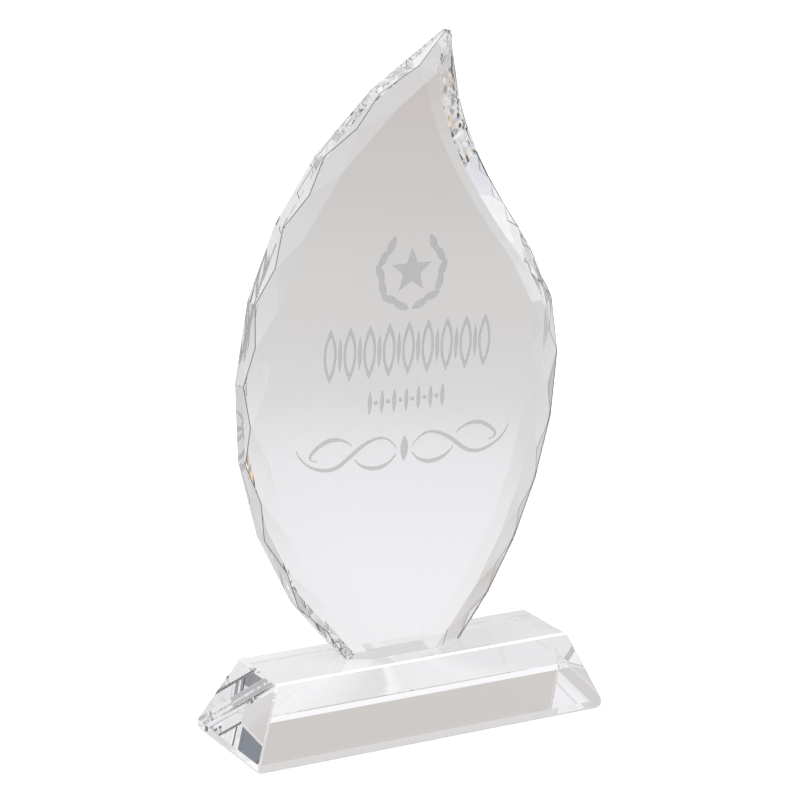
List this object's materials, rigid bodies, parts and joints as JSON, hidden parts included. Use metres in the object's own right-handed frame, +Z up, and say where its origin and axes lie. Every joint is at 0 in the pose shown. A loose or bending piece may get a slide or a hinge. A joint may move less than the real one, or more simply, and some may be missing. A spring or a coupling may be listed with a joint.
{
  "type": "crystal award",
  "caption": "Clear crystal award: an upright flame-shaped plate with a faceted edge and an engraved ornament, glued to a long sloped block base.",
  "frame": {"origin": "centre of the base block's underside", "axes": "+Z up; +X along the base's length, to the right when facing the engraving; -Y is the engraved front"},
  "size_m": [0.14, 0.046, 0.2437],
  "materials": {
    "plate_crystal": "polished clear optical crystal, engraving sandblasted to a frosted grey",
    "base_crystal": "polished clear optical crystal",
    "adhesive": "clear cured adhesive film"
  },
  "bodies": {
    "root": {"flame_plate": "plate_crystal", "base_block": "base_crystal", "adhesive_film": "adhesive"}
  },
  "joints": []
}
